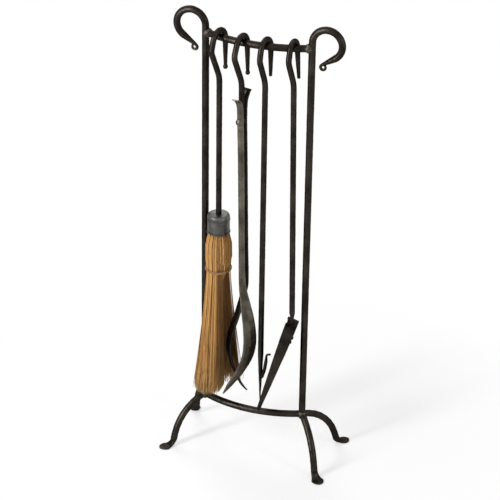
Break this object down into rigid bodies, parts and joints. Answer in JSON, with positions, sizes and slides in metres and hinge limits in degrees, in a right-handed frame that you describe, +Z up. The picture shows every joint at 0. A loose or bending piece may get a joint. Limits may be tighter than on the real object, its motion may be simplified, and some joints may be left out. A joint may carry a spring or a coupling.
{
  "type": "fireplace tool set",
  "caption": "Free-standing iron fireplace tool stand on splayed feet with a bowed rail between crook-topped uprights, and a hung broom, tongs, poker and shovel",
  "frame": {"origin": "on the floor, at the bottom centre of the bounding box", "axes": "X along the rail from left to right, -Y the front, Z up"},
  "size_m": [0.3252, 0.1682, 0.8657],
  "materials": {
    "iron": "dark brown-black forged iron, satin",
    "ferrule": "dark pewter grey, brushed round",
    "wood": "raw hardwood",
    "bristle": "natural broom straw",
    "twine": "waxed twine"
  },
  "bodies": {
    "stand": {"left_upright": "iron", "right_upright": "iron", "top_rail": "iron", "lower_bar": "iron", "front_left_leg": "iron", "back_left_leg": "iron", "front_right_leg": "iron", "back_right_leg": "iron", "rail_welds": "iron", "foot_welds": "iron"},
    "broom": {"broom_handle": "iron", "broom_ferrule": "ferrule", "broom_plug": "wood", "broom_bristles": "bristle", "broom_binding": "twine"},
    "tongs": {"tongs_handle": "iron", "tongs_back_arm": "iron", "tongs_rivet": "iron"},
    "tongs_arm": {"tongs_front_arm": "iron"},
    "poker": {"poker_shaft": "iron", "poker_barb": "iron"},
    "shovel": {"shovel_handle": "iron", "shovel_pan": "iron", "shovel_rivets": "iron"}
  },
  "joints": [
    {"name": "broom_lift", "type": "slide", "parent": "stand", "child": "broom", "axis": [0, 0, 1], "range_m": [0, 0.046]},
    {"name": "tongs_lift", "type": "slide", "parent": "stand", "child": "tongs", "axis": [0, 0, 1], "range_m": [0, 0.046]},
    {"name": "tongs_opening", "type": "hinge", "parent": "tongs", "child": "tongs_arm", "pos_m": [-0.0203, -0.0352, 0.6796], "axis": [0, -1, 0], "range_deg": [0, 5]},
    {"name": "poker_lift", "type": "slide", "parent": "stand", "child": "poker", "axis": [0, 0, 1], "range_m": [0, 0.04]},
    {"name": "shovel_lift", "type": "slide", "parent": "stand", "child": "shovel", "axis": [0, 0, 1], "range_m": [0, 0.036]}
  ]
}
